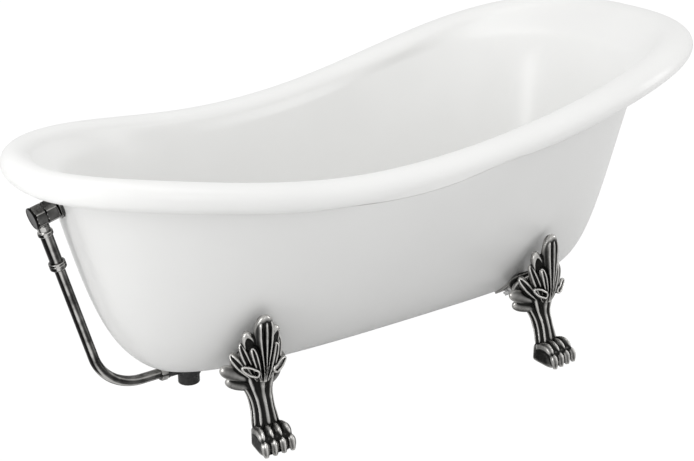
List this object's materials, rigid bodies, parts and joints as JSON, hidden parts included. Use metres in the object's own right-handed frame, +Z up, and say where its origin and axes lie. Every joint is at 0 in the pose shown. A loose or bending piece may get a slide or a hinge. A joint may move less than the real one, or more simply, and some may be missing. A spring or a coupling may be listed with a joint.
{
  "type": "clawfoot bathtub",
  "caption": "Single-ended slipper bathtub, double walled with a rolled rim, on cast claw feet, with an exposed overflow pipe and a lifting drain stopper.",
  "frame": {"origin": "on the floor, under the middle of the tub's rim outline", "axes": "+X towards the raised head end, the drain and overflow are at -X; +Z up; Y = 0 is the plane of symmetry, -Y is the side towards the camera"},
  "size_m": [1.6999, 0.7737, 0.7325],
  "materials": {
    "white_acrylic": "gloss",
    "white_acrylic_body": "gloss",
    "board": "raw board",
    "antique_pewter": "antique pewter plate with dark recesses",
    "steel": "zinc plated",
    "glide_steel": "zinc plated",
    "satin_nickel": "satin nickel",
    "polished_chrome": "polished",
    "seal_rubber": "matt",
    "dark_waste": "dark plated"
  },
  "bodies": {
    "tub": {"inner_basin": "white_acrylic", "outer_skirt": "white_acrylic_body", "base_board": "board", "foot_drain_near": "antique_pewter", "foot_drain_far": "antique_pewter", "foot_head_near": "antique_pewter", "foot_head_far": "antique_pewter", "foot_bolts": "steel", "foot_washers": "steel", "foot_plates": "steel", "overflow_head": "satin_nickel", "overflow_cap": "satin_nickel", "overflow_neck_nut": "satin_nickel", "overflow_collar": "satin_nickel", "overflow_sleeve": "satin_nickel", "overflow_coupling": "satin_nickel", "overflow_pipe": "satin_nickel", "overflow_pipe_nut": "satin_nickel", "overflow_seal": "seal_rubber", "grille_seal": "seal_rubber", "overflow_grille": "polished_chrome", "overflow_screw": "polished_chrome", "waste_flange": "polished_chrome", "waste_flange_seal": "seal_rubber", "waste_gasket": "seal_rubber", "waste_body": "dark_waste"},
    "drain_stopper": {"drain_stopper": "polished_chrome"},
    "glide_drain_near": {"glide_drain_near": "glide_steel"},
    "glide_drain_far": {"glide_drain_far": "glide_steel"},
    "glide_head_near": {"glide_head_near": "glide_steel"},
    "glide_head_far": {"glide_head_far": "glide_steel"}
  },
  "joints": [
    {"name": "stopper_lift", "type": "slide", "parent": "tub", "child": "drain_stopper", "axis": [0, 0, 1], "range_m": [0, 0.009]},
    {"name": "glide_drain_near_screw", "type": "slide", "parent": "tub", "child": "glide_drain_near", "axis": [0, 0, -1], "range_m": [0, 0.01]},
    {"name": "glide_drain_far_screw", "type": "slide", "parent": "tub", "child": "glide_drain_far", "axis": [0, 0, -1], "range_m": [0, 0.01]},
    {"name": "glide_head_near_screw", "type": "slide", "parent": "tub", "child": "glide_head_near", "axis": [0, 0, -1], "range_m": [0, 0.01]},
    {"name": "glide_head_far_screw", "type": "slide", "parent": "tub", "child": "glide_head_far", "axis": [0, 0, -1], "range_m": [0, 0.01]}
  ]
}
